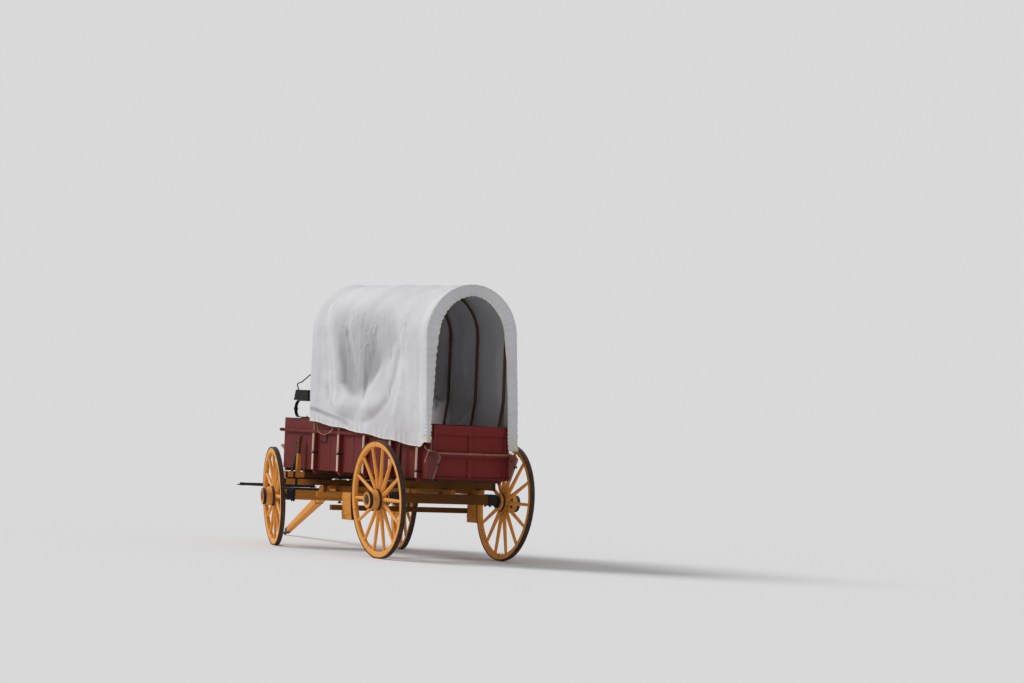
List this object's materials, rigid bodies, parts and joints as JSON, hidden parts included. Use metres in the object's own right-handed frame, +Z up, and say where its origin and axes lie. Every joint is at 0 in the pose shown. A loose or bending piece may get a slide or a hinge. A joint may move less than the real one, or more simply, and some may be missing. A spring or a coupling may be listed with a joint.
{
  "type": "covered wagon",
  "caption": "Horse-drawn covered wagon: board box on dished spoked wheels with iron tyres, turning front gear with drop tongue, spring seat and a canvas bonnet over bent bows.",
  "frame": {"origin": "on the ground, in the middle of the overall box", "axes": "+X forward, along the wagon's box; +Y to its left; +Z up. The tongue points forward and down, turned to the right"},
  "size_m": [6.9332, 2.2223, 3.0798],
  "materials": {
    "canvas": "heavy off-white cotton duck",
    "bow_wood": "bare bent hickory, weathered pale",
    "floor_wood": "bare worn boards",
    "brake_wood": "bare weathered hardwood",
    "iron": "black forged iron",
    "red_paint": "old barn-red paint, dull, worn at the edges",
    "dark_paint": "old blue-black paint",
    "seat_wood": "dark oiled wood",
    "yellow_paint": "ochre-yellow paint, worn and dusty",
    "tyre_iron": "wrought iron worn brown, polished on the tread",
    "rope": "grey-brown hemp rope"
  },
  "bodies": {
    "root": {"bonnet": "canvas", "bows": "bow_wood", "box_floor": "floor_wood", "brake_beam": "brake_wood", "brake_blocks": "brake_wood", "brake_lever": "iron", "brake_rod": "iron", "cross_sills": "red_paint", "end_gate_bar": "red_paint", "footboard": "seat_wood", "footboard_brackets": "iron", "front_bolster": "yellow_paint", "front_gate": "red_paint", "gate_guides": "red_paint", "hem_rope": "rope", "king_bolt": "iron", "reach": "yellow_paint", "rear_axle": "yellow_paint", "rear_bolster": "yellow_paint", "rear_hounds": "yellow_paint", "rear_skeins": "iron", "seat": "seat_wood", "seat_back": "iron", "seat_springs": "iron", "side_boards": "red_paint", "side_cleats": "red_paint", "side_rails": "red_paint", "top_boards": "red_paint"},
    "end_gate": {"end_gate": "red_paint"},
    "front_gear": {"front_axle": "yellow_paint", "front_skeins": "iron", "sand_board": "yellow_paint", "front_hounds": "yellow_paint", "sway_bar": "yellow_paint", "tongue_pin": "iron"},
    "tongue": {"pole": "yellow_paint", "hammer_pin": "iron"},
    "doubletree": {"doubletree": "dark_paint"},
    "singletree_left": {"singletree_left": "dark_paint"},
    "singletree_right": {"singletree_right": "dark_paint"},
    "front_left_wheel": {"front_left_tyre": "tyre_iron", "front_left_felloes": "yellow_paint", "front_left_spokes": "yellow_paint", "front_left_hub": "yellow_paint"},
    "front_right_wheel": {"front_right_tyre": "tyre_iron", "front_right_felloes": "yellow_paint", "front_right_spokes": "yellow_paint", "front_right_hub": "yellow_paint"},
    "rear_left_wheel": {"rear_left_tyre": "tyre_iron", "rear_left_felloes": "yellow_paint", "rear_left_spokes": "yellow_paint", "rear_left_hub": "yellow_paint"},
    "rear_right_wheel": {"rear_right_tyre": "tyre_iron", "rear_right_felloes": "yellow_paint", "rear_right_spokes": "yellow_paint", "rear_right_hub": "yellow_paint"}
  },
  "joints": [
    {"name": "steer", "type": "hinge", "parent": "root", "child": "front_gear", "pos_m": [0.173, 0.161, 0.7], "axis": [0, 0, 1], "range_deg": [-9, 35]},
    {"name": "tongue_pitch", "type": "hinge", "parent": "front_gear", "child": "tongue", "pos_m": [0.66019, 0.04852, 0.697], "axis": [-0.225, -0.9744, 0], "range_deg": [0, 25]},
    {"name": "doubletree_swing", "type": "hinge", "parent": "tongue", "child": "doubletree", "pos_m": [1.18335, -0.07226, 0.6214], "axis": [0.2225, -0.0514, 0.9736], "range_deg": [-12, 12]},
    {"name": "singletree_left_swing", "type": "hinge", "parent": "doubletree", "child": "singletree_left", "pos_m": [1.32557, 0.47272, 0.68955], "axis": [0.2225, -0.0514, 0.9736], "range_deg": [-15, 15]},
    {"name": "singletree_right_swing", "type": "hinge", "parent": "doubletree", "child": "singletree_right", "pos_m": [1.07227, -0.62442, 0.68955], "axis": [0.2225, -0.0514, 0.9736], "range_deg": [-15, 15]},
    {"name": "end_gate_lift", "type": "slide", "parent": "root", "child": "end_gate", "axis": [0, 0, 1], "range_m": [0, 0.55]},
    {"name": "front_left_wheel_spin", "type": "hinge", "parent": "front_gear", "child": "front_left_wheel", "pos_m": [0.35229, 0.93757, 0.58457], "axis": [0.2246, 0.9727, -0.0593], "continuous": true},
    {"name": "front_right_wheel_spin", "type": "hinge", "parent": "front_gear", "child": "front_right_wheel", "pos_m": [-0.00629, -0.61557, 0.58457], "axis": [-0.2246, -0.9727, -0.0593], "continuous": true},
    {"name": "rear_left_wheel_spin", "type": "hinge", "parent": "root", "child": "rear_left_wheel", "pos_m": [-2.592, 0.958, 0.66044], "axis": [0, 0.9982, -0.0593], "continuous": true},
    {"name": "rear_right_wheel_spin", "type": "hinge", "parent": "root", "child": "rear_right_wheel", "pos_m": [-2.592, -0.636, 0.66044], "axis": [0, -0.9982, -0.0593], "continuous": true}
  ]
}
